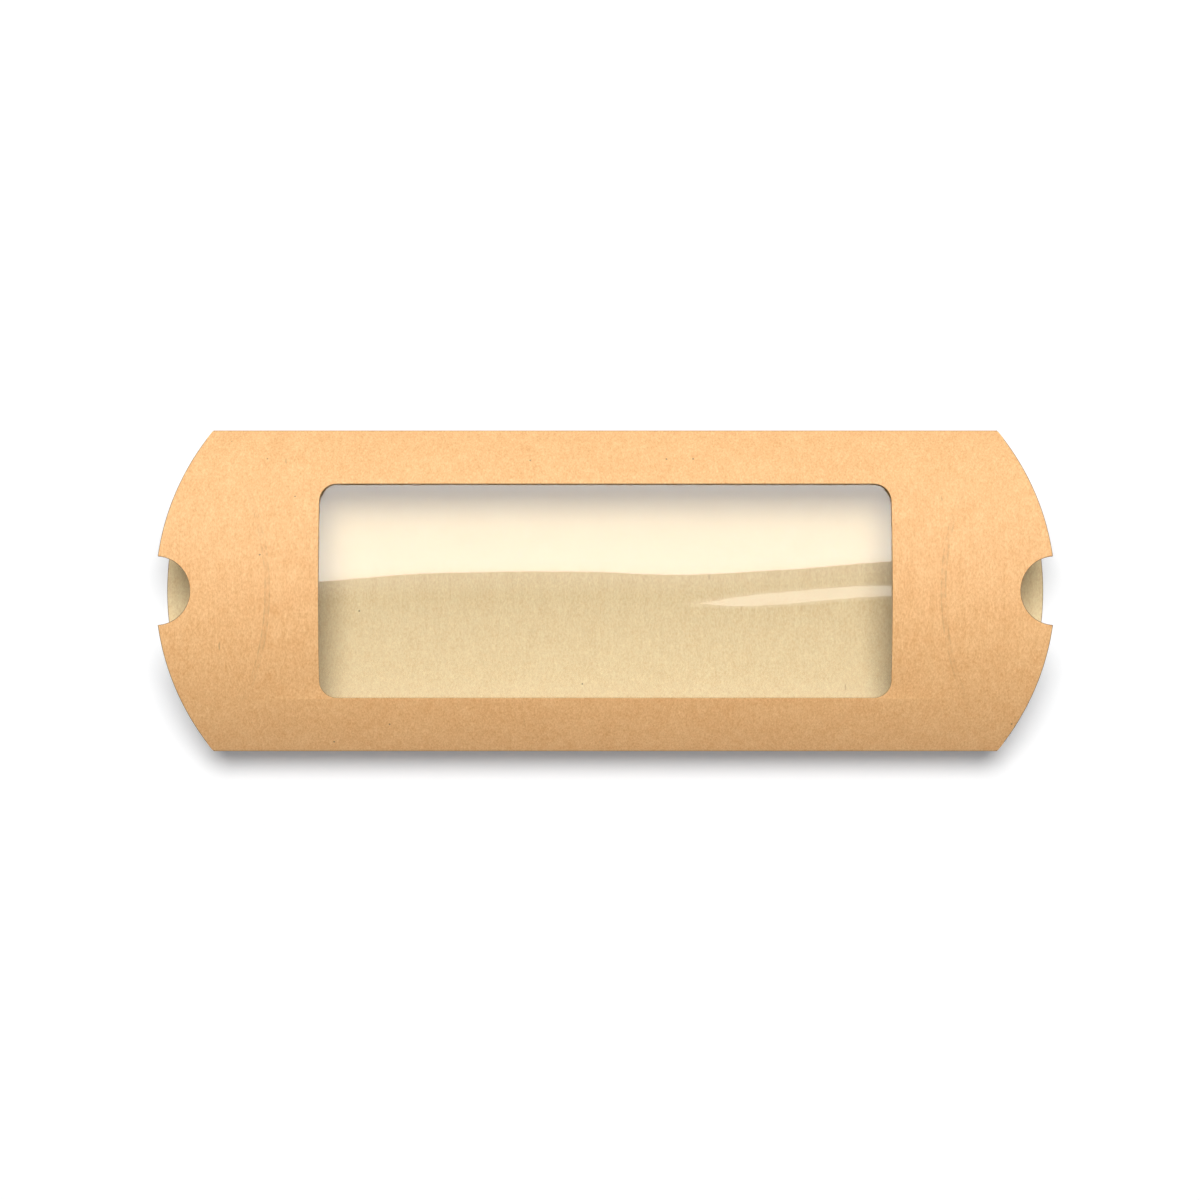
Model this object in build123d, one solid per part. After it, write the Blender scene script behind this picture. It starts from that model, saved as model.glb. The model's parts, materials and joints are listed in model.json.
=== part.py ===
from build123d import *
from math import acos, sin, sqrt
import os

# A kraft pillow box with a clear window, popped open, with its four end flaps still unfolded.
# All sizes are in millimetres. X runs along the box and Z is up: the box lies on the crown of its
# back panel, and the origin is under its middle, on the surface that it lies on.

# Carton
fold_length = 220.0        # side fold, from crease to crease
box_width = 90.0           # from side fold to side fold
bulge = 16.4               # rise of each panel's outer face above the plane of the side folds
board = 0.45               # thickness of the kraft board

# End flaps
flap_reach = 14.6          # how far an open flap's curved edge runs past the end of the side fold
flap_clearance = 0.15      # between the back flaps and the front ones that close over them
crease_gap = 0.2           # slit between a panel and its flap, along X
crease_width = 0.9         # pressed score line, along X
crease_depth = 0.12
flap_tip_rise = 0.25       # a flap's tip ends this far from the plane of the side folds
inner_flap_relief = 1.4    # the back flaps are this much narrower at their tips, to close easily
thumb_notch_radius = 9.5
notch_corner_radius = 0.5

# Window and its film
window_end_rim = 14.1      # board between the window and the crown of the crease
window_side_rim = 18.37    # board between the window and the side fold, over the curve
window_corner_radius = 4.8
film = 0.2                 # thickness of the clear film
film_lap = 8.0             # how far the film runs past the window, under the board
film_corner_radius = 2.0
glue = 0.1                 # thickness of each glue layer
window_glue_inset = 1.5    # from the window's edge, and from the film's, to the glue

# Glued seam, along the fold at -Y
tab_width = 13.0           # measured over the curve of the panel
tab_end_relief = 4.0       # the tab stops this far from each end of the side fold
tab_taper = 8.0            # how much shorter the free edge is at each end
seam_edge_gap = 0.25       # the back panel's raw edge stops this far below the fold
seam_clearance = 0.05      # between that raw edge and the turned-in board
seam_glue_inset = 2.5      # from the tab's free edge, and from the fold, to the glue
seam_glue_end_inset = 3.0  # from the ends of the tab's free edge to the glue

overrun = 2.0              # how far every cutting body runs past what it cuts

# Worked out from the sizes above
half_width = box_width / 2
inner_half_width = half_width - board
inner_rise = bulge - board
inner_radius = (inner_half_width**2 + inner_rise**2) / (2 * inner_rise)
outer_radius = inner_radius + board
centre_drop = outer_radius - bulge          # from the fold plane to a panel's centre of curvature
middle_z = bulge
front_crease_x = fold_length / 2            # where each crease meets the plane of the side folds
back_crease_x = front_crease_x - board - flap_clearance
outer_apex_x = fold_length / 2 + flap_reach
window_half_length = front_crease_x - bulge - window_end_rim
window_half_arc = outer_radius * acos(centre_drop / outer_radius) - window_side_rim
tab_half_length = fold_length / 2 - tab_end_relief
flap_tip_y = sqrt(inner_radius**2 - (centre_drop + flap_tip_rise) ** 2)
film_outer_radius = inner_radius - glue
film_inner_radius = film_outer_radius - film
tab_outer_radius = inner_radius - glue
tab_inner_radius = tab_outer_radius - board


def side(front):
    """+1 for the front panel, which is on top, and -1 for the back panel."""
    return 1 if front else -1


def disc(front, radius):
    """Disc in the section plane, centred on a panel's centre of curvature."""
    return Plane.YZ * (Pos(0, middle_z - side(front) * centre_drop) * Circle(radius))


def inner_lens():
    """Section of the space inside the carton."""
    return disc(True, inner_radius) & disc(False, inner_radius)


def outer_lens():
    """Section of the whole carton, with its two folds rounded about the inner ones."""
    return offset(inner_lens(), amount=board, kind=Kind.ARC)


def stretched(section, length):
    """Section drawn out along X, centred on the middle of the box."""
    return extrude(section, length / 2, both=True)


def layer(front, outer, inner, length):
    """Curved layer on one panel's side of the fold plane, between two radii."""
    return stretched(disc(front, outer) - disc(front, inner), length) & half_space(front)


def half_space(front):
    """Everything on one panel's side of the fold plane."""
    depth = bulge + overrun
    z = middle_z + side(front) * depth / 2
    return Pos(0, 0, z) * Box(2 * (outer_apex_x + overrun), box_width + 2 * overrun, depth)


def board_strip(front):
    """Board of one panel and its two flaps in one, ending at the fold plane."""
    tube = stretched(outer_lens() - inner_lens(), 2 * (outer_apex_x + overrun))
    return tube & half_space(front)


def between_creases(front, shift):
    """Wedge between the two crease planes of a panel, each moved outwards by shift along X.
    They lean at 45 degrees, so that a flap that is folded there stands upright."""
    rise = bulge + overrun
    foot = (front_crease_x if front else back_crease_x) + shift
    top = middle_z + side(front) * rise
    outline = Polyline(
        (-foot, 0, middle_z), (foot, 0, middle_z), (foot - rise, 0, top), (rise - foot, 0, top),
        close=True,
    )
    return extrude(make_face(outline), half_width + overrun, both=True)


def crease_score(front):
    """Shallow groove pressed into the outer face along both creases of a panel."""
    half = crease_width / 2
    band = between_creases(front, half) - between_creases(front, -half)
    return band & layer(front, outer_radius + overrun, outer_radius - crease_depth, 2 * outer_apex_x)


def cut_through(sketch):
    """Body that cuts the whole height of the box to an outline in plan."""
    return Pos(0, 0, -overrun) * extrude(sketch, 2 * (bulge + overrun))


def end_outline(relief):
    """Plan of the carton with its curved ends, narrowed to the tips of the flaps. The ends of the
    arcs stop short of the ends of the side folds by relief."""
    foot = fold_length / 2 - relief
    ends = Polyline((-foot, half_width), (foot, half_width))
    ends += ThreePointArc((foot, half_width), (outer_apex_x, 0), (foot, -half_width))
    ends += Polyline((foot, -half_width), (-foot, -half_width))
    ends += ThreePointArc((-foot, -half_width), (-outer_apex_x, 0), (-foot, half_width))
    return make_face(ends) & Rectangle(2 * (outer_apex_x + overrun), 2 * flap_tip_y)


def notched(outline):
    """The same plan with a half-round thumb notch in the middle of each end."""
    for x in (-outer_apex_x, outer_apex_x):
        outline -= Pos(x, 0) * Circle(thumb_notch_radius)
    reach_y = (thumb_notch_radius + flap_tip_y) / 2
    corners = [v for v in outline.vertices() if abs(v.Y) < reach_y and abs(v.X) > fold_length / 2]
    return fillet(corners, notch_corner_radius)


def make_panel(front):
    """One panel between its two creases, up to the fold plane."""
    return (board_strip(front) & between_creases(front, -crease_gap / 2)) - crease_score(front)


def make_flaps(front):
    """The left and right flap of one panel. The front ones have the thumb notches."""
    outline = notched(end_outline(0)) if front else end_outline(inner_flap_relief)
    ends = board_strip(front) & cut_through(outline)
    ends -= between_creases(front, crease_gap / 2)
    ends -= crease_score(front)
    return sorted(ends.solids(), key=lambda flap: flap.center().X)


def window_shape(margin, corner_radius):
    """Plan of the window, made larger all round by margin."""
    half_y = outer_radius * sin((window_half_arc + margin) / outer_radius)
    return RectangleRounded(2 * (window_half_length + margin), 2 * half_y, corner_radius)


def make_front_panel():
    """The panel with the window in it."""
    return make_panel(True) - cut_through(window_shape(0, window_corner_radius))


def make_window_film():
    """Clear sheet behind the window."""
    sheet = layer(True, film_outer_radius, film_inner_radius, fold_length)
    return sheet & cut_through(window_shape(film_lap, film_corner_radius))


def make_window_glue():
    """Frame of glue between the board and the film."""
    outer_margin = film_lap - window_glue_inset
    frame = window_shape(outer_margin, window_corner_radius + outer_margin)
    frame -= window_shape(window_glue_inset, window_corner_radius + window_glue_inset)
    return layer(True, inner_radius, film_outer_radius, fold_length) & cut_through(frame)


def seam_slab(height):
    """The part of the seam's side that is less than height below the fold plane."""
    return Pos(0, -half_width, middle_z - height / 2) * Box(2 * outer_apex_x, box_width, height)


def make_back_panel():
    """The panel without a window, whose raw edge at the seam stops just below the fold."""
    return make_panel(False) - seam_slab(seam_edge_gap)


def below_fold(radius, along):
    """Y of a point on a curved layer, at a distance along it from the fold plane."""
    angle = acos(centre_drop / radius) - along / radius
    return radius * sin(angle)


def make_seam_tab():
    """Strip of board that turns in at the fold and is glued inside the back panel."""
    strip = layer(False, tab_outer_radius, tab_inner_radius, fold_length)
    turn = stretched(outer_lens() - disc(False, tab_inner_radius), fold_length)
    strip += turn & seam_slab(seam_edge_gap - seam_clearance)
    free_y = below_fold(tab_outer_radius, tab_width)
    root, free = tab_half_length, tab_half_length - tab_taper
    outline = Polyline(
        (-root, -half_width), (root, -half_width), (free, -free_y), (-free, -free_y), close=True
    )
    return strip & cut_through(make_face(outline))


def make_seam_glue():
    """Band of glue between the tab and the back panel."""
    near_y = below_fold(inner_radius, tab_width - seam_glue_inset)
    far_y = below_fold(inner_radius, seam_glue_inset)
    length = 2 * (tab_half_length - tab_taper - seam_glue_end_inset)
    band = Pos(0, -(near_y + far_y) / 2) * Rectangle(length, far_y - near_y)
    return layer(False, inner_radius, tab_outer_radius, fold_length) & cut_through(band)


front_left_flap, front_right_flap = make_flaps(True)
back_left_flap, back_right_flap = make_flaps(False)
nodes = {
    "front_panel": make_front_panel(),
    "back_panel": make_back_panel(),
    "seam_tab": make_seam_tab(),
    "seam_glue": make_seam_glue(),
    "window_film": make_window_film(),
    "window_glue": make_window_glue(),
    "front_left_flap": front_left_flap,
    "front_right_flap": front_right_flap,
    "back_left_flap": back_left_flap,
    "back_right_flap": back_right_flap,
}

os.makedirs("parts", exist_ok=True)
for name, shape in nodes.items():
    export_step(shape, f"parts/{name}.step")

# The crease hinges lie in the middle of the board's thickness, at the crown of each panel
crown_rise = bulge - board / 2
print("front hinge x, z:", front_crease_x - crown_rise, middle_z + crown_rise)
print("back hinge x, z:", back_crease_x - crown_rise, middle_z - crown_rise)
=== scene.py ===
import json
import math

import bmesh
import bpy
import numpy as np
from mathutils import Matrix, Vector


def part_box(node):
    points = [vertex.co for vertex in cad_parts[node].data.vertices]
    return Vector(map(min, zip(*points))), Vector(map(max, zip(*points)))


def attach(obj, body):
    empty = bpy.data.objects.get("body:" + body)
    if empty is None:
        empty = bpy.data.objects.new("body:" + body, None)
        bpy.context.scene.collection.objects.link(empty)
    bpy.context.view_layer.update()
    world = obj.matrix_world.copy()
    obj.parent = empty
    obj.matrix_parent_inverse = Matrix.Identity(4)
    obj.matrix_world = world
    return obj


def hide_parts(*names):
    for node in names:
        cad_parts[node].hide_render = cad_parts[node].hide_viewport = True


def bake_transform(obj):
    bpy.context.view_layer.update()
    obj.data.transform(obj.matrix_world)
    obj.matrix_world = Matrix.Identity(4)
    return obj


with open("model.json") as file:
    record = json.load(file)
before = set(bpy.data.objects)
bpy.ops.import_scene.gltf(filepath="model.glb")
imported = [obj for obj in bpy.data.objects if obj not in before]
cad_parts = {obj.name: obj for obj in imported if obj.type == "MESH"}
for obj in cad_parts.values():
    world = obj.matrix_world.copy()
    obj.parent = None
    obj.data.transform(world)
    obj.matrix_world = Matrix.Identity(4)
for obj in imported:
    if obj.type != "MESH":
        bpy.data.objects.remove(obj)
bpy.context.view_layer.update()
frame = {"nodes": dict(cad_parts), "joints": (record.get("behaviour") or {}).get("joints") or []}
mm = 0.001


# Kraft pillow box with a film window, lying on the crown of its back panel, flaps unfolded.
# The carton's own sizes are worked out from the frame, in metres.
def cartonSizes():
    lo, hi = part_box("front_panel")
    hinge = {joint["name"]: joint["pos_m"] for joint in frame["joints"]}
    board = 2 * (hi.z - hinge["front_right_crease"][2])
    bulge = hi.z - lo.z
    innerHalf = hi.y - board
    innerRise = bulge - board
    innerRadius = (innerHalf**2 + innerRise**2) / (2 * innerRise)
    drop = innerRadius - innerRise
    return {
        "board": board,
        "foldZ": lo.z,
        "bulge": bulge,
        "halfWidth": hi.y,
        "innerHalf": innerHalf,
        "innerRadius": innerRadius,
        "outerRadius": innerRadius + board,
        "drop": drop,                                # fold plane to a panel's centre of curvature
        "foldAngle": math.acos(drop / innerRadius),  # crown to fold, seen from that centre
        "creaseCrown": {True: hinge["front_right_crease"][0], False: hinge["back_right_crease"][0]},
        "apex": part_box("back_right_flap")[1].x,      # where the flaps' round edges reach, notch or not
    }


carton = cartonSizes()

boardLook = {
    "columns": 96,            # strips across a panel, from fold to fold
    "foldSteps": 5,
    "foldMargin": 0.05 * mm,
    "overrun": 2.0 * mm,      # how far a strip runs past what is cut from it
    "seamGap": 0.25 * mm,     # the back panel's raw edge stops this far below the fold
    "cutAngle": math.radians(50),   # edges sharper than this come from the die
    "flapRoll": 0.19 * mm,    # which rolls them a little
    "panelRoll": 0.07 * mm,
    "tipMargin": 2.0 * mm,    # but not at the flaps' tips
    "nearest": 0.04 * mm,
    "rollSteps": 2,
    "level": 0.97,            # how level with the sheet its outer and inner faces are
    "foldLevel": 0.5,
    "smoothAngle": math.radians(32),
}

window = {
    "lap": 8.0 * mm,          # film behind the board, measured over the curve
    "cornerRadius": 4.8 * mm,
    "cornerSteps": 14,
}

flapLook = {
    "tip": 44.75 * mm,        # the flap's two ends stop this far from the middle
    "relief": {True: 0.0, False: 1.4 * mm},   # the back flaps are narrower at their tips
    "arcColumns": 360,
    "notchRadius": 9.5 * mm,
    "notchColumns": 96,
    "notchCorner": 0.3 * mm,
    "cornerSteps": 3,
    "cornerAngle": math.radians(40),
    "rowGap": 1.0 * mm,       # gap between the rows sliced across the flap
    "proud": 0.02 * mm,       # how far a folded flap would cover the panel's edge
}

score = {
    "edge": 0.6 * mm,         # half the width of the pressed line
    "wall": 0.2 * mm,
    "between": 0.45,          # how much of the line's painted shade there is between its two edges
    "depth": 0.03 * mm,
    "fullTo": 12 * mm,        # the line is deepest in the middle and fades towards the folds
    "fadedAt": 34 * mm,
    "fadedDepth": 0.1,
    "patchScale": 420,              # its painted shade is broken up in patches this fine
    "patchFrom": (0.36, 0.64),
    "patchShare": (0.05, 0.43),
}


def side(front):
    return 1 if front else -1


def centreZ(front):
    return carton["foldZ"] - side(front) * carton["drop"]


def creaseFoot(front):
    return carton["creaseCrown"][front] + carton["bulge"] - carton["board"] / 2


# Modelling steps that several pieces share
def makeActive(piece):
    if bpy.context.mode != "OBJECT":
        bpy.ops.object.mode_set(mode="OBJECT")
    bpy.ops.object.select_all(action="DESELECT")
    if piece:
        piece.select_set(True)
        bpy.context.view_layer.objects.active = piece


def addPrimitive(name, kind, **place):
    makeActive(None)
    getattr(bpy.ops.mesh, f"primitive_{kind}_add")(**place)
    piece = bpy.context.active_object
    piece.name = name
    piece.data.name = name
    bpy.ops.object.transform_apply(location=True, rotation=True, scale=True)
    return piece


def selectParts(piece, parts, test, mode):
    makeActive(piece)
    bpy.ops.object.mode_set(mode="EDIT")
    bpy.ops.mesh.select_mode(type=mode)
    bpy.ops.mesh.select_all(action="DESELECT")
    mesh = bmesh.from_edit_mesh(piece.data)
    for part in getattr(mesh, parts):
        if test(part):
            part.select_set(True)
    mesh.select_flush_mode()
    bmesh.update_edit_mesh(piece.data)
    return any(part.select for part in getattr(mesh, parts))


def selectFaces(piece, test):
    return selectParts(piece, "faces", test, "FACE")


def selectEdges(piece, test):
    return selectParts(piece, "edges", test, "EDGE")


def everything(part):
    return True


def leaveEdit():
    bpy.ops.object.mode_set(mode="OBJECT")


tiny = 0.002 * mm


def mergeAndTurnOut(piece, nearest=tiny):
    selectFaces(piece, everything)
    bpy.ops.mesh.remove_doubles(threshold=nearest)
    bpy.ops.mesh.normals_make_consistent(inside=False)
    leaveEdit()


def applyModifier(piece, kind, **settings):
    makeActive(piece)
    modifier = piece.modifiers.new("step", kind)
    for key, value in settings.items():
        setattr(modifier, key, value)
    bpy.ops.object.modifier_apply(modifier=modifier.name)


def cutWith(piece, cutter, operation):
    applyModifier(piece, "BOOLEAN", operation=operation, object=cutter, solver="EXACT")
    bpy.data.objects.remove(cutter)


def slicePiece(piece, point, normal, keepInner, test=everything):
    selectFaces(piece, test)
    bpy.ops.mesh.bisect(plane_co=point, plane_no=normal, use_fill=keepInner,
                        clear_outer=keepInner, threshold=tiny / 5)
    leaveEdit()


def creasePlane(front, right, shift):
    # A point and the outward normal of a crease plane, moved out along X by shift
    way = 1 if right else -1
    return (way * (creaseFoot(front) + shift), 0, carton["foldZ"]), (way, 0, side(front))


# A curved sheet: a straight line along X, turned about the panel's centre of curvature, and
# then pulled inwards to its thickness.
def curvedSheet(name, front, halfLength, radius, thickness, halfAngle, columns):
    y = -radius * math.sin(halfAngle)
    z = centreZ(front) + side(front) * radius * math.cos(halfAngle)
    sheet = addPrimitive(name, "plane", size=2 * halfLength, location=(0, y + halfLength, z))
    selectParts(sheet, "verts", lambda vert: vert.co.y > y + mm, "VERT")
    bpy.ops.mesh.delete(type="VERT")
    bpy.ops.mesh.select_all(action="SELECT")
    bpy.ops.mesh.spin(steps=columns, angle=side(front) * 2 * halfAngle,
                      center=(0, 0, centreZ(front)), axis=(1, 0, 0))
    bpy.ops.mesh.select_all(action="SELECT")
    share = (radius - thickness) / radius
    bpy.ops.mesh.extrude_region_move()
    bpy.ops.transform.resize(value=(1, share, share), center_override=(0, 0, centreZ(front)))
    leaveEdit()
    mergeAndTurnOut(sheet)
    return sheet


# The board of one panel and its flaps in one strip, with the folds rounded about the inner ones
def boardStrip(name, front, seamGap=0.0):
    halfLength = carton["apex"] + boardLook["overrun"]
    strip = curvedSheet(name, front, halfLength, carton["outerRadius"], carton["board"],
                        carton["foldAngle"], boardLook["columns"])
    turn = math.pi / 2 - carton["foldAngle"]
    for way in (1, -1):
        nearFold = way * (carton["innerHalf"] - boardLook["foldMargin"])
        selectFaces(strip, lambda face: all(way * (vert.co.y - nearFold) > 0 for vert in face.verts))
        bpy.ops.mesh.spin(steps=boardLook["foldSteps"], angle=way * side(front) * turn,
                          center=(0, way * carton["innerHalf"], carton["foldZ"]), axis=(1, 0, 0))
        leaveEdit()
    mergeAndTurnOut(strip)
    if seamGap:
        slicePiece(strip, (0, 0, carton["foldZ"] - seamGap), (0, 0, 1), True,
                   lambda face: face.calc_center_median().y < boardLook["overrun"] - carton["innerHalf"])
    return strip


# The die rolls the edges of the cut walls. Folds and creases aren't cut, so they stay as they are,
# and so do the flaps' thin tips, where a bevel would have no room.
def rollCutEdges(piece, front, width):
    def isCut(edge):
        if len(edge.link_faces) != 2 or edge.calc_face_angle(0) < boardLook["cutAngle"]:
            return False
        if all(abs(vert.co.z - carton["foldZ"]) < boardLook["nearest"] for vert in edge.verts):
            return False
        if any(abs(vert.co.y) > flapLook["tip"] - boardLook["tipMargin"] for vert in edge.verts):
            return False
        point, normal = creasePlane(front, edge.verts[0].co.x > 0, 0)
        return not all(abs((vert.co - Vector(point)).dot(Vector(normal))) < boardLook["nearest"]
                       for vert in edge.verts)
    mergeAndTurnOut(piece, boardLook["nearest"])   # cuts leave points that are too close for a bevel
    if selectEdges(piece, isCut):
        bpy.ops.mesh.bevel(offset=width, segments=boardLook["rollSteps"],
                           affect="EDGES", clamp_overlap=False)
    leaveEdit()


# How strongly the crease is pressed at a distance from the middle of the box
def scoreStrength(y):
    share = np.clip((np.abs(y) - score["fullTo"]) / (score["fadedAt"] - score["fullTo"]), 0, 1)
    return 1 - (1 - score["fadedDepth"]) * share * share * (3 - 2 * share)


def coordinates(piece):
    points = np.zeros(len(piece.data.vertices) * 3)
    piece.data.vertices.foreach_get("co", points)
    return points.reshape(-1, 3)


def giveCoordinates(piece, points):
    piece.data.vertices.foreach_set("co", points.ravel())
    piece.data.update()


def pressScore(piece, front, ways):
    # ways has +1 for a flap, which lies outside its crease, and -1 for a panel
    edge, wall = score["edge"], score["wall"]
    for right in (True, False):
        for row in (edge - 1.5 * wall, edge - wall / 2, edge + wall / 2, edge + 1.5 * wall):
            slicePiece(piece, *creasePlane(front, right, ways * row), False)
    points = coordinates(piece)
    fromCentre = points - [0, 0, centreZ(front)]
    fromCentre[:, 0] = 0
    radius = np.linalg.norm(fromCentre, axis=1)
    outward = fromCentre / radius[:, None]
    reach = np.abs(points[:, 0]) - creaseFoot(front) + side(front) * (points[:, 2] - carton["foldZ"])
    strength = scoreStrength(points[:, 1]) * (radius > carton["outerRadius"] - 0.05 * mm)
    low = np.clip((edge + wall / 2 - np.abs(reach)) / wall, 0, 1) * strength
    giveCoordinates(piece, points - outward * (low * score["depth"])[:, None])
    # Painted shade along the groove's two walls, fainter between them, kept as a point attribute
    line = np.clip(1.5 - np.abs(np.abs(reach) - edge) / wall, 0, 1)
    line = np.maximum(line, score["between"] * (np.abs(reach) < edge)) * strength
    attribute = piece.data.attributes.new("score", "FLOAT", "POINT")
    attribute.data.foreach_set("value", line.astype(np.float32))


# Outside, inside and cut edge of the board each have their own finish
def finishBoard(piece, front, outside, inside, edge):
    for material in (outside, inside, edge):
        piece.data.materials.append(material)
    for face in piece.data.polygons:
        outward = Vector((0, face.center.y, face.center.z - centreZ(front)))
        distance = outward.length
        level = face.normal.dot(outward.normalized())
        atFold = abs(face.center.y) > carton["innerHalf"]
        if level > boardLook["level"] or (atFold and level > boardLook["foldLevel"]):
            face.material_index = 0
        elif level < -boardLook["level"] and distance < carton["innerRadius"] + boardLook["nearest"] / 2:
            face.material_index = 1
        else:
            face.material_index = 2
    makeActive(piece)
    bpy.ops.object.shade_smooth_by_angle(angle=boardLook["smoothAngle"])


def windowHalfSizes():
    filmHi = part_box("window_film")[1]
    radius = carton["outerRadius"]
    arc = radius * math.asin(filmHi.y / radius) - window["lap"]
    return filmHi.x - window["lap"], radius * math.sin(arc / radius)


# Half the window's width, measured over the curve
def windowArc():
    return carton["outerRadius"] * math.asin(windowHalfSizes()[1] / carton["outerRadius"])


def cutWindow(panel):
    halfX, halfY = windowHalfSizes()
    height = 2 * carton["bulge"]
    cutter = addPrimitive("windowCutter", "cube", size=2, scale=(halfX, halfY, height / 2),
                          location=(0, 0, carton["foldZ"] + carton["bulge"]))
    selectEdges(cutter, lambda edge: abs(edge.verts[0].co.z - edge.verts[1].co.z) > mm)
    bpy.ops.mesh.bevel(offset=window["cornerRadius"], segments=window["cornerSteps"], affect="EDGES")
    leaveEdit()
    cutWith(panel, cutter, "DIFFERENCE")


def makePanel(name, front, seamGap=0.0):
    panel = boardStrip(name, front, seamGap)
    for right in (True, False):
        slicePiece(panel, *creasePlane(front, right, 0), True)
    if front:
        cutWindow(panel)
    rollCutEdges(panel, front, boardLook["panelRoll"])
    pressScore(panel, front, -1)
    return panel


# The round edge of a flap is an arc through its apex and the ends of the two side folds
def flapArc(front):
    rise = carton["apex"] - creaseFoot(True) + flapLook["relief"][front]
    return (carton["halfWidth"] ** 2 + rise**2) / (2 * rise)


def makeRightFlap(name, front):
    flap = boardStrip(name, front)
    point, normal = creasePlane(front, True, 0)
    slicePiece(flap, point, [-value for value in normal], True)
    apex, radius = carton["apex"], flapArc(front)
    height = 4 * carton["bulge"]
    disc = addPrimitive("arcCutter", "cylinder", vertices=flapLook["arcColumns"], radius=radius,
                        depth=height, location=(apex - radius, 0, carton["foldZ"]))
    cutWith(flap, disc, "INTERSECT")
    if front:
        notch = addPrimitive("notchCutter", "cylinder", vertices=flapLook["notchColumns"],
                             radius=flapLook["notchRadius"], depth=height,
                             location=(apex, 0, carton["foldZ"]))
        cutWith(flap, notch, "DIFFERENCE")

        def isCorner(edge):
            one, two = edge.verts[0].co, edge.verts[1].co
            upright = (one.xy - two.xy).length < 0.01 * mm and abs(one.z - two.z) > carton["board"] / 2
            inNotch = abs(one.y) < 1.25 * flapLook["notchRadius"]
            return upright and inNotch and edge.calc_face_angle(0) > flapLook["cornerAngle"]
        if selectEdges(flap, isCorner):
            bpy.ops.mesh.bevel(offset=flapLook["notchCorner"], segments=flapLook["cornerSteps"],
                               affect="EDGES")
        leaveEdit()
    for way in (1, -1):
        slicePiece(flap, (0, way * flapLook["tip"], 0), (0, way, 0), True)
    rollCutEdges(flap, front, boardLook["flapRoll"])
    return flap


def addRows(flap, front):
    reach = carton["apex"] - carton["creaseCrown"][front]
    rows = int(reach / flapLook["rowGap"])
    for row in range(2, rows + 1):
        slicePiece(flap, *creasePlane(front, True, row * flapLook["rowGap"]), False)


def mirrorCopy(piece, name):
    makeActive(piece)
    bpy.ops.object.duplicate()
    copy = bpy.context.active_object
    copy.name = name
    copy.data.name = name
    selectFaces(copy, everything)
    bpy.ops.transform.resize(value=(-1, 1, 1), center_override=(0, 0, 0))
    bpy.ops.mesh.flip_normals()                    # mirroring turned every face inside out
    leaveEdit()
    return copy


# A flap hinges on a curved crease, so it can't stay rigid.
# Here only its placement is baked into its mesh and its points are read; nothing turns it.
def foldAlongCrease(flap):
    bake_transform(flap)
    points = coordinates(flap)


# Materials. Textures read Object coordinates, in metres.
def addNode(tree, kind, inputs=None, **settings):
    made = tree.nodes.new("ShaderNode" + kind)
    for key, value in settings.items():
        setattr(made, key, value)
    for key, value in (inputs or {}).items():
        if isinstance(value, bpy.types.NodeSocket):
            tree.links.new(value, made.inputs[key])
        else:
            made.inputs[key].default_value = value
    return made


def newMaterial(name):
    material = bpy.data.materials.new(name)
    material.use_nodes = True
    tree = material.node_tree
    tree.nodes.clear()
    output = addNode(tree, "OutputMaterial")
    return material, tree, output


def calculate(tree, operation, one, two=0.0, three=0.0, clamp=False):
    made = addNode(tree, "Math", {0: one, 1: two, 2: three}, operation=operation, use_clamp=clamp)
    return made.outputs[0]


def spread(tree, value, low, high, toLow=0.0, toHigh=1.0):
    made = addNode(tree, "MapRange", {"Value": value, "From Min": low, "From Max": high,
                                      "To Min": toLow, "To Max": toHigh}, interpolation_type="SMOOTHSTEP")
    return made.outputs["Result"]


def mixColours(tree, share, one, two, blend="MIX"):
    made = addNode(tree, "Mix", data_type="RGBA", blend_type=blend, clamp_factor=True)
    for socket, value in ((0, share), (6, one), (7, two)):
        if isinstance(value, bpy.types.NodeSocket):
            tree.links.new(value, made.inputs[socket])
        else:
            made.inputs[socket].default_value = value
    return made.outputs[2]


def stretched(tree, coords, scale, turn=(0, 0, 0), shift=(0, 0, 0)):
    made = addNode(tree, "Mapping", {"Vector": coords, "Scale": scale, "Rotation": turn,
                                     "Location": shift})
    return made.outputs["Vector"]


def noise(tree, coords, scale, detail, roughness=0.55, distortion=0.0):
    made = addNode(tree, "TexNoise", {"Vector": coords, "Scale": scale, "Detail": detail,
                                      "Roughness": roughness, "Distortion": distortion})
    return made.outputs["Fac"]


kraftLook = {
    "outside": (0.885, 0.500, 0.215, 1),
    "inside": (0.870, 0.680, 0.385, 1),
    "underside": (0.300, 0.220, 0.120, 1),   # inside the window's panel, where the film's edge is glued, and inside the front flaps: the inside kraft painted darker, as shade
    # dried glue is a little darker than the board; here it is darker still, as painted shade
    "glue": (0.420, 0.310, 0.170, 1),
    "cutEdge": (0.330, 0.190, 0.085, 1),
    "speck": (0.16, 0.08, 0.035, 1),
    "hair": (0.42, 0.22, 0.09, 1),
    # painted shade along the edges of the pressed lines
    "scoreShade": (0.50, 0.27, 0.11, 1),
    "contrast": {"outside": (0.80, 1.40, 2.05), "inside": (0.54, 0.88, 1.26)},   # red, green, blue
    "patches": 480,                          # the pulp is a little yellower in places
    "hueShift": (0.0, 0.035, 0.06),
    "foldFade": (0.35 * mm, 0.08 * mm),      # the board turns darker over the folds, from this far inside their outer edge to this
    "foldShare": 0.6,
    "roughness": 0.62,
    "relief": 0.05 * mm,
}

# Each layer of the pulp: how fine it is, how far it is drawn out across the box, its detail and
# roughness, and its share in the tone
pulpLayers = {
    "clouds": (160, 1, 4, 0.6, 0.16),
    "streaks": (900, 0.12, 3, 0.6, 0.26),
    "fibres": (2350, 0.45, 4, 0.65, 0.80),
    "grain": (5200, 1, 2, 0.5, 0.28),
}

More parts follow.
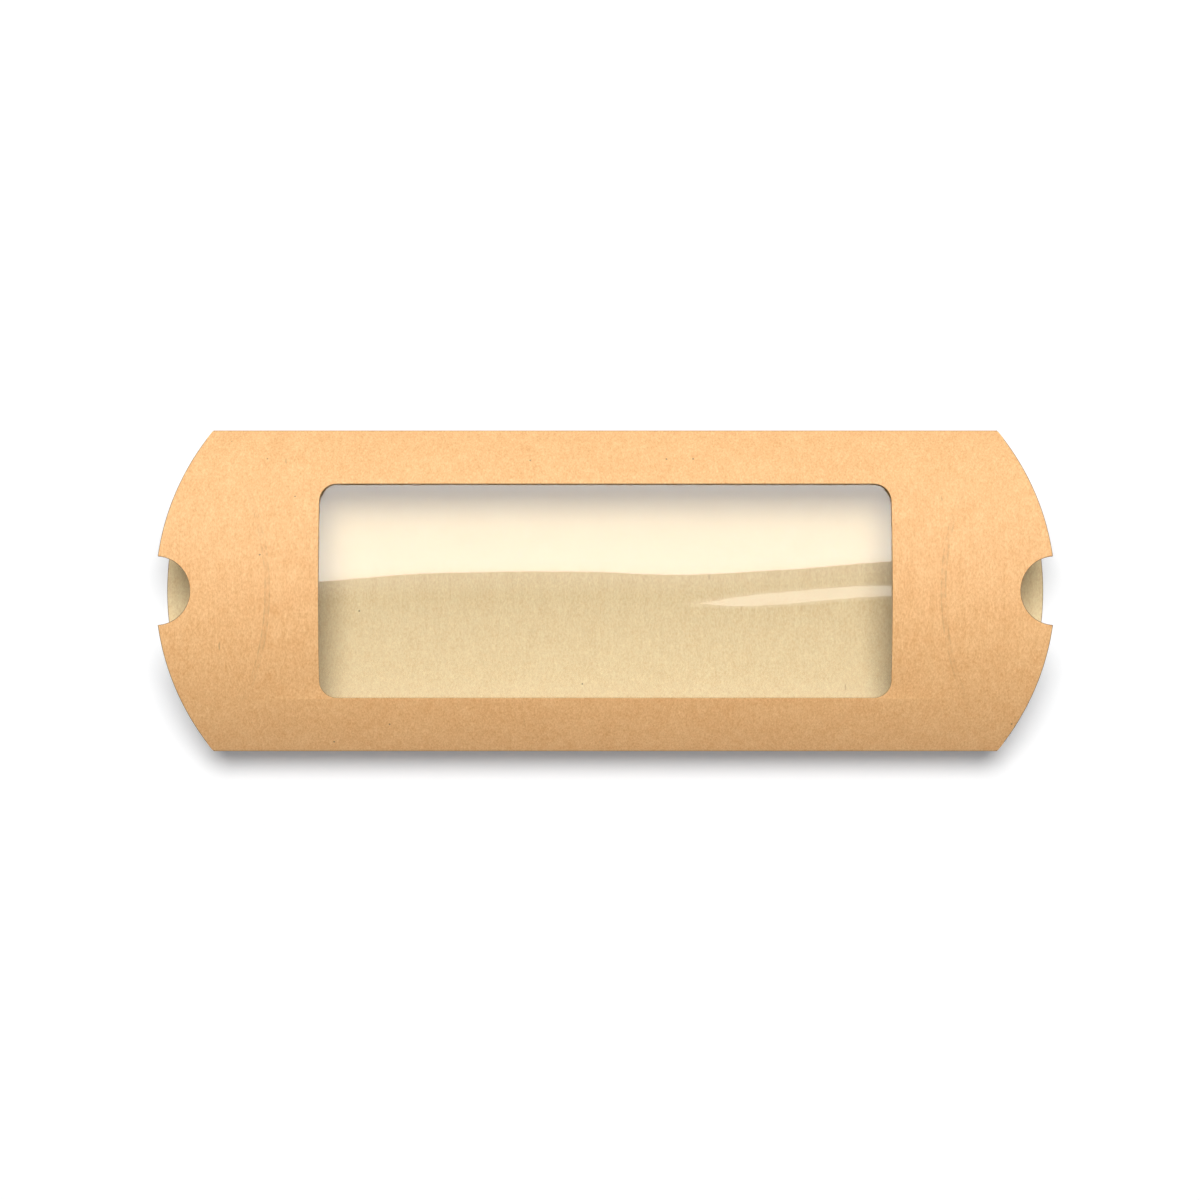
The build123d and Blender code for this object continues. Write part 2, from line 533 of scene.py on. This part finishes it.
hairs = {
    "turns": ((0.5, 0.013), (1.9, 0.171)),   # their direction, and a shift of the pattern
    "fineness": 330,
    "slimness": (1, 0.16, 0.3),
    "bends": 260,
    "bendReach": (2.2 * mm, 2.2 * mm, 0),
    "width": (0.10, 0.05),
    "rarity": (0.90, 0.93),
    "share": 0.55,
}

specks = {
    "fineness": 190,
    "width": (0.062, 0.036),
    "rarity": (0.86, 0.90),
    "share": 0.75,
}


# Marks in a few cells of a pattern, picked by a channel of the cells' own colours
def scattered(tree, coords, marks, channel):
    cells = addNode(tree, "TexVoronoi", {"Vector": coords, "Scale": marks["fineness"], "Randomness": 1.0})
    near = spread(tree, cells.outputs["Distance"], *marks["width"])
    picked = addNode(tree, "SeparateColor", {"Color": cells.outputs["Color"]}).outputs[channel]
    rare = spread(tree, picked, *marks["rarity"], 0.0, marks["share"])
    return calculate(tree, "MULTIPLY", near, rare)


def kraft(name, colour, contrast, scored=False):
    material, tree, output = newMaterial(name)
    coords = addNode(tree, "TexCoord").outputs["Object"]
    tone = 0.0
    layers = {}
    for word, (fineness, drawnOut, detail, roughness, share) in pulpLayers.items():
        place = stretched(tree, coords, (1, drawnOut, 1))
        layers[word] = noise(tree, place, fineness, detail, roughness)
        part = calculate(tree, "MULTIPLY_ADD", layers[word], share, -share / 2)
        tone = calculate(tree, "ADD", part, tone)
    patches = calculate(tree, "SUBTRACT", noise(tree, coords, kraftLook["patches"], 2, 0.5), 0.5)
    amounts = {}
    for channel, strength, hue in zip(("Red", "Green", "Blue"), contrast, kraftLook["hueShift"]):
        amount = calculate(tree, "MULTIPLY_ADD", tone, strength, 1.0)
        amounts[channel] = calculate(tree, "MULTIPLY_ADD", patches, 2 * hue, amount)
    lit = addNode(tree, "CombineColor", amounts).outputs["Color"]
    base = mixColours(tree, 1.0, colour, lit, "MULTIPLY")

    # Short bent hairs and a few dark specks in the pulp
    bent = addNode(tree, "TexNoise", {"Vector": coords, "Scale": hairs["bends"], "Detail": 1})
    shift = addNode(tree, "VectorMath", {0: bent.outputs["Color"], 1: hairs["bendReach"]},
                    operation="MULTIPLY")
    bend = addNode(tree, "VectorMath", {0: coords, 1: shift.outputs[0]}, operation="ADD")
    for turn, seed in hairs["turns"]:
        lying = stretched(tree, bend.outputs[0], hairs["slimness"], (0, 0, turn), (seed, seed, seed))
        share = scattered(tree, lying, hairs, "Red")
        base = mixColours(tree, share, base, kraftLook["hair"])
    share = scattered(tree, coords, specks, "Green")
    base = mixColours(tree, share, base, kraftLook["speck"])

    if scored:
        # Painted shade along the pressed lines, broken up in patches
        line = addNode(tree, "Attribute", attribute_name="score").outputs["Fac"]
        shadePatches = spread(tree, noise(tree, coords, score["patchScale"], 2, 0.6), *score["patchFrom"],
                      *score["patchShare"])
        base = mixColours(tree, calculate(tree, "MULTIPLY", line, shadePatches), base, kraftLook["scoreShade"])
        across = addNode(tree, "SeparateXYZ", {"Vector": coords}).outputs["Y"]
        starts, ends = [carton["halfWidth"] - reach for reach in kraftLook["foldFade"]]
        fold = spread(tree, calculate(tree, "ABSOLUTE", across), starts, ends, 0.0, kraftLook["foldShare"])
        base = mixColours(tree, fold, base, kraftLook["cutEdge"])

    rough = calculate(tree, "MULTIPLY_ADD", layers["fibres"], 0.12, kraftLook["roughness"] - 0.06)
    fine = calculate(tree, "MULTIPLY", layers["grain"], 0.4)
    relief = calculate(tree, "MULTIPLY_ADD", layers["fibres"], 0.6, fine)
    bump = addNode(tree, "Bump", {"Height": relief, "Strength": 0.16, "Distance": kraftLook["relief"]})
    shader = addNode(tree, "BsdfPrincipled", {"Base Color": base, "Roughness": rough,
                                              "Specular IOR Level": 0.5,
                                              "Normal": bump.outputs["Normal"]})
    tree.links.new(shader.outputs["BSDF"], output.inputs["Surface"])
    return material


filmLook = {
    "ior": 1.5,
    "roughness": 0.035,
    "columnGap": 0.5 * mm,
    "rowGap": 2.0 * mm,
    "edgeRows": (-0.3 * mm, 0.2 * mm, 0.7 * mm, 1.1 * mm, 1.5 * mm),   # beside the window's ends
    "glueInset": 1.5 * mm,     # window edge to glue: the film is flat from there on
    "hidden": 0.7 * mm,        # past the window's edge the board hides how the waves end
    "outerGap": 0.1 * mm,      # glue between the board and the film
    "thickness": 0.2 * mm,
    "clear": (0.985, 0.985, 0.98, 1),
    "haze": (0.93, 0.94, 0.93, 1),
    "hazeShare": 0.006,
    "smudges": 420,
    "smoothAngle": math.radians(40),
}


def filmMaterial():
    material, tree, output = newMaterial("clear_film")
    coords = addNode(tree, "TexCoord").outputs["Object"]
    back = addNode(tree, "NewGeometry").outputs["Backfacing"]
    # Seen from within, the film's far face reflects as much as the near one
    bend = calculate(tree, "MULTIPLY_ADD", back, 1 / filmLook["ior"] - filmLook["ior"], filmLook["ior"])
    shine = addNode(tree, "Fresnel", {"IOR": bend}).outputs["Fac"]
    clear = addNode(tree, "BsdfTransparent", {"Color": filmLook["clear"]}).outputs["BSDF"]
    haze = addNode(tree, "BsdfDiffuse", {"Color": filmLook["haze"], "Roughness": 0.5}).outputs["BSDF"]
    fine = noise(tree, coords, filmLook["smudges"], 3)
    smudge = spread(tree, fine, 0.35, 0.75, 0.6 * filmLook["hazeShare"], 1.4 * filmLook["hazeShare"])
    body = addNode(tree, "MixShader", {0: smudge, 1: clear, 2: haze}).outputs["Shader"]
    rough = spread(tree, fine, 0.3, 0.7, 0.8 * filmLook["roughness"], 1.2 * filmLook["roughness"])
    gloss = addNode(tree, "BsdfAnisotropic", {"Color": (1, 1, 1, 1), "Roughness": rough}).outputs["BSDF"]
    whole = addNode(tree, "MixShader", {0: shine, 1: body, 2: gloss}).outputs["Shader"]
    tree.links.new(whole, output.inputs["Surface"])
    return material


# The film isn't quite taut. Where its surface tips towards the softbox it mirrors it, so its
# waves are set by the edge of that reflection. All in millimetres, X along, Y across the box.
waves = {
    "restEdge": 4.4,          # where the reflection would start on a film without waves
    "mirrorEdge": [(-79.2, 2.3), (-64.9, 3.8), (-50.5, 4.9), (-22.5, 5.5), (-1.5, 5.3), (12.7, 4.5),
                   (24.0, 4.4), (38.2, 5.2), (55.0, 6.3), (69.2, 7.6), (79.4, 8.6)],
    "fade": 12.0,
    "streakStart": (18.0, 25.0),
    "streakTop": [(18.0, -3.4), (25.7, -2.9), (30.1, -1.9), (37.2, -0.95), (44.2, -0.15), (54.3, 0.6),
                  (60.6, 1.15), (67.2, 1.85), (75.4, 2.0), (79.5, 1.8)],
    "streakFoot": [(18.0, -4.0), (25.7, -4.6), (30.1, -4.95), (38.3, -5.2), (47.6, -4.8), (55.0, -4.15),
                   (61.7, -3.4), (67.2, -2.85), (74.6, -2.4), (79.5, -1.95)],
    "streakSoftness": 0.9,
    "streakTilt": {"outer": 0.008, "inner": -0.014},   # radians past what mirrors the softbox
    "lip": 2.6,               # beside the window's edge at +Y the film lies flatter
    "lipSoftness": 1.4,
    "lipTilt": -0.23,
    "lapStart": 0.7,          # it is taut again under the board
    "lapSoftness": 0.4,
    "softness": 3.2,          # how much the lines above are smoothed along X
    "halfLine": 96.0,
    "lineStep": 0.5,
    "halfArc": 48.0,
    "arcStep": 0.25,
    "levelFrom": 6.0,         # past here towards -Y the film slopes gently back to the board
    "levelLength": 22.0,
}


def softLine(points, x):
    known = np.array(points)
    step = waves["lineStep"]
    fine = np.arange(-waves["halfLine"], waves["halfLine"], step)
    line = np.interp(fine, known[:, 0], known[:, 1])
    margin = 20
    kernel = np.exp(-0.5 * (np.arange(-margin, margin + 1) * step / waves["softness"]) ** 2)
    padded = np.concatenate([np.full(margin, line[0]), line, np.full(margin, line[-1])])
    return np.interp(x, fine, np.convolve(padded, kernel / kernel.sum(), mode="valid"))


def smooth(value):
    share = np.clip(value, 0, 1)
    return share * share * (3 - 2 * share)


def filmTilt(x, along, face):
    # Tilt towards +Y, in radians, at x and at a distance along the arc from the crown, both in mm
    radius = carton["innerRadius"] / mm
    edge = softLine(waves["mirrorEdge"], x)
    tilt = (waves["restEdge"] - edge) / radius * (1 - smooth(np.abs(along - edge) / waves["fade"]))
    top, foot = softLine(waves["streakTop"], x), softLine(waves["streakFoot"], x)
    soft = waves["streakSoftness"]
    inside = smooth((along - foot) / soft + 0.5) * smooth((top - along) / soft + 0.5)
    first, full = waves["streakStart"]
    starts = smooth((x - first) / (full - first))
    need = (waves["restEdge"] - along) / radius + waves["streakTilt"][face]
    rim = windowArc() / mm
    lip = smooth((along - rim + waves["lip"]) / waves["lipSoftness"])
    lip *= smooth((rim + waves["lapStart"] - along) / waves["lapSoftness"])
    return tilt * (1 - inside * starts) + inside * starts * need + lip * waves["lipTilt"]


def waveFilm(film):
    halfX = windowHalfSizes()[0]
    points = coordinates(film)
    fromCentre = points - [0, 0, centreZ(True)]
    fromCentre[:, 0] = 0
    radius = np.linalg.norm(fromCentre, axis=1)
    outward = fromCentre / radius[:, None]
    x = points[:, 0] / mm
    along = np.arcsin(outward[:, 1]) * carton["innerRadius"] / mm
    step = waves["arcStep"]
    steps = np.arange(-waves["halfArc"], waves["halfArc"] + step / 2, step)
    height = np.zeros(len(points))
    middle = carton["innerRadius"] - filmLook["outerGap"] - filmLook["thickness"] / 2
    for face, faceTest in (("outer", radius > middle), ("inner", radius <= middle)):
        for place in np.unique(np.round(x, 3)):
            here = (np.abs(x - place) < 0.01) & faceTest
            tilt = filmTilt(np.full(len(steps), place), steps, face)
            total = np.concatenate([[0], np.cumsum((tilt[1:] + tilt[:-1]) / 2 * step)])
            rise = total[-1] - total                       # the height falls where the film tips to +Y
            low = smooth((-along[here] - waves["levelFrom"]) / waves["levelLength"])
            height[here] = np.interp(along[here], steps, rise) - low * rise[0]
    height -= height.max()
    edgeArc = windowArc() / mm
    last, fall = filmLook["glueInset"] / mm, (filmLook["glueInset"] - filmLook["hidden"]) / mm
    inX = smooth((halfX / mm + last - np.abs(x)) / fall)
    inY = smooth((edgeArc + last - np.abs(along)) / fall)
    print("film waves, lowest and highest, in mm:", round(height.min(), 2), round(height.max(), 2))
    giveCoordinates(film, points + outward * (height * inX * inY * mm)[:, None])


def makeFilm():
    lo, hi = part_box("window_film")
    radius = carton["innerRadius"] - filmLook["outerGap"]
    halfAngle = math.asin(hi.y / radius)
    columns = int(2 * halfAngle * radius / filmLook["columnGap"])
    film = curvedSheet("film", True, hi.x + mm, radius, filmLook["thickness"], halfAngle, columns)
    for way in (1, -1):
        slicePiece(film, (way * hi.x, 0, 0), (way, 0, 0), True)
    rows = int(hi.x / filmLook["rowGap"])
    places = [row * filmLook["rowGap"] for row in range(-rows, rows + 1)]
    halfX = windowHalfSizes()[0]
    for step in filmLook["edgeRows"]:
        places += [halfX + step, -halfX - step]
    for place in places:
        slicePiece(film, (place, 0, 0), (1, 0, 0), False)
    waveFilm(film)
    makeActive(film)
    bpy.ops.object.shade_smooth_by_angle(angle=filmLook["smoothAngle"])
    return film


# Studio
# Lamps stand towards +Y, at an angle from straight up; a level of 1 shows a colour as written.
studio = {
    "lampDistance": 10.0,
    "key": {"zenith": math.radians(16.5), "halfWidth": math.radians(15.2),
            "halfDepth": math.radians(12.4), "level": 0.95},
    "fill": {"zenith": math.radians(65), "halfWidth": math.radians(25),
             "halfDepth": math.radians(12), "level": 0.07},
    "ambient": 0.05,
    "ceiling": 0.1,            # what gloss sees straight above; it is white from low down
    "ceilingFade": (0.35, 0.85),
    "cardHeight": 1.6,
    "cardNear": math.radians(7.5),
    "cardFar": math.radians(57),
    "cardHalfWidth": 0.5,
    "cardGlow": 5.6,
    "cardEdgeShare": 0.84,     # the softbox is dimmer along its near edge
    "cardEdgeWidth": 0.11,
    "cardFarShare": 0.82,      # and towards its far edge
    "cardSpill": 0.90,         # the faint light that falls past that edge
    "cardSpillEnd": math.radians(-5),
    "floor": (0.6, 0.6, 0.6, 1),
    "floorSeen": (0.855, 0.84, 0.83, 1),
    "floorGlow": (0.185, 0.21, 0.23, 1),
    "floorSize": 12.0,
}

camera = {
    "place": (-0.00148, -0.00258, 1.2052),
    "lens": 127.05,
    "sensor": 36,
}


# 1 where the camera looks, also in a mirror or through glass, and 0 where only light arrives
def seenDirectly(tree):
    path = addNode(tree, "LightPath")
    seen = calculate(tree, "ADD", path.outputs["Is Camera Ray"], path.outputs["Is Glossy Ray"])
    return calculate(tree, "ADD", seen, path.outputs["Is Transmission Ray"], clamp=True)


def makeFloor():
    floor = addPrimitive("floor", "plane", size=studio["floorSize"], location=(0, 0, 0))
    material, tree, output = newMaterial("paleFloor")
    seen = seenDirectly(tree)
    colour = mixColours(tree, seen, studio["floor"], studio["floorSeen"])
    diffuse = addNode(tree, "BsdfDiffuse", {"Color": colour})
    glow = addNode(tree, "Emission", {"Color": studio["floorGlow"], "Strength": seen})
    shader = addNode(tree, "AddShader", {0: diffuse.outputs["BSDF"], 1: glow.outputs["Emission"]})
    tree.links.new(shader.outputs["Shader"], output.inputs["Surface"])
    floor.data.materials.append(material)


def makeWorld():
    world = bpy.data.worlds.new("studio")
    bpy.context.scene.world = world
    world.use_nodes = True
    tree = world.node_tree
    tree.nodes.clear()
    seen = seenDirectly(tree)
    direction = addNode(tree, "TexCoord").outputs["Generated"]
    height = addNode(tree, "SeparateXYZ", {"Vector": direction}).outputs["Z"]
    shown = spread(tree, height, *studio["ceilingFade"], 1.0, studio["ceiling"])
    more = calculate(tree, "MULTIPLY", seen, calculate(tree, "SUBTRACT", shown, studio["ambient"]))
    strength = calculate(tree, "ADD", more, studio["ambient"])
    background = addNode(tree, "Background", {"Color": (1, 1, 1, 1), "Strength": strength})
    output = addNode(tree, "OutputWorld")
    tree.links.new(background.outputs["Background"], output.inputs["Surface"])


def makeLamp(name, zenith, halfWidth, halfDepth, level):
    distance = studio["lampDistance"]
    light = bpy.data.lights.new(name, "AREA")
    light.shape = "ELLIPSE"
    light.size = 2 * distance * math.tan(halfWidth)
    light.size_y = 2 * distance * math.tan(halfDepth)
    light.energy = level * (math.pi * distance) ** 2 / math.cos(zenith)
    lamp = bpy.data.objects.new(name, light)
    bpy.context.scene.collection.objects.link(lamp)
    lamp.location = Vector((0, math.sin(zenith), math.cos(zenith))) * distance
    lamp.rotation_euler = (-zenith, 0, 0)
    lamp.visible_camera = False
    lamp.visible_glossy = False


# Only gloss sees the softbox: it is what the film mirrors
def makeSoftbox():
    height = studio["cardHeight"]
    low, near, far = [height * math.tan(studio[key]) for key in ("cardSpillEnd", "cardNear", "cardFar")]
    card = addPrimitive("softbox", "plane", size=far - low, location=(0, (low + far) / 2, height))
    selectFaces(card, everything)
    bpy.ops.transform.resize(value=(2 * studio["cardHalfWidth"] / (far - low), 1, 1),
                             center_override=(0, 0, 0))
    leaveEdit()
    material, tree, output = newMaterial("softboxGlow")
    coords = addNode(tree, "TexCoord").outputs["Object"]
    along = addNode(tree, "SeparateXYZ", {"Vector": coords}).outputs["Y"]
    glow = spread(tree, along, near, near + studio["cardEdgeWidth"],
                  studio["cardGlow"] * studio["cardEdgeShare"], studio["cardGlow"])
    glow = calculate(tree, "MULTIPLY", glow, spread(tree, along, near, far, 1.0, studio["cardFarShare"]))
    spill = spread(tree, along, low, near, 0.0, studio["cardSpill"])
    pastEdge = calculate(tree, "GREATER_THAN", along, near)
    more = calculate(tree, "MULTIPLY", pastEdge, calculate(tree, "SUBTRACT", glow, spill))
    strength = calculate(tree, "ADD", more, spill)
    shader = addNode(tree, "Emission", {"Color": (1, 1, 1, 1), "Strength": strength})
    tree.links.new(shader.outputs["Emission"], output.inputs["Surface"])
    card.data.materials.append(material)
    for ray in ("camera", "diffuse", "transmission", "volume_scatter", "shadow"):
        setattr(card, "visible_" + ray, False)


def makeCamera():
    lens = bpy.data.cameras.new("camera")
    lens.lens = camera["lens"]
    lens.sensor_width = camera["sensor"]
    eye = bpy.data.objects.new("camera", lens)
    bpy.context.scene.collection.objects.link(eye)
    eye.location = camera["place"]
    bpy.context.scene.camera = eye
    bpy.context.scene.view_settings.view_transform = "Standard"


makeCamera()
makeWorld()
makeFloor()
makeLamp("keyLamp", **studio["key"])
makeLamp("fillLamp", **studio["fill"])
makeSoftbox()
print("studio ready")

coarse, fine = kraftLook["contrast"]["outside"], kraftLook["contrast"]["inside"]
outside = kraft("kraft_outside", kraftLook["outside"], coarse, True)
inside = kraft("kraft_inside", kraftLook["inside"], fine)
# A darker copy of the inside kraft: painted shade for the inside of the window's panel and front flaps
underside = kraft("kraft_underside", kraftLook["underside"], fine)
cutEdge = kraft("kraft_cut_edge", kraftLook["cutEdge"], coarse)
glueMaterial = kraft("dried_glue", kraftLook["glue"], fine)

frontPanel = makePanel("frontPanel", True)
backPanel = makePanel("backPanel", False, boardLook["seamGap"])
for piece, node, front, lining in ((frontPanel, "front_panel", True, underside),
                                   (backPanel, "back_panel", False, inside)):
    finishBoard(piece, front, outside, lining, cutEdge)
    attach(piece, "carton")
    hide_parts(node)
print("panels ready")

for front, word in ((True, "front"), (False, "back")):
    rightFlap = makeRightFlap(f"{word}RightFlap", front)
    pressScore(rightFlap, front, 1)
    addRows(rightFlap, front)
    leftFlap = mirrorCopy(rightFlap, f"{word}LeftFlap")
    for flap, way in ((rightFlap, "right"), (leftFlap, "left")):
        finishBoard(flap, front, outside, underside if front else inside, cutEdge)
        foldAlongCrease(flap)
        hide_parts(f"{word}_{way}_flap")
print("flaps ready")

film = makeFilm()
film.data.materials.append(filmMaterial())
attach(film, "carton")
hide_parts("window_film")
for node, material in (("seam_tab", inside), ("window_glue", glueMaterial), ("seam_glue", glueMaterial)):
    mesh = frame["nodes"][node].data
    mesh.materials.clear()
    mesh.materials.append(material)
print("film ready")
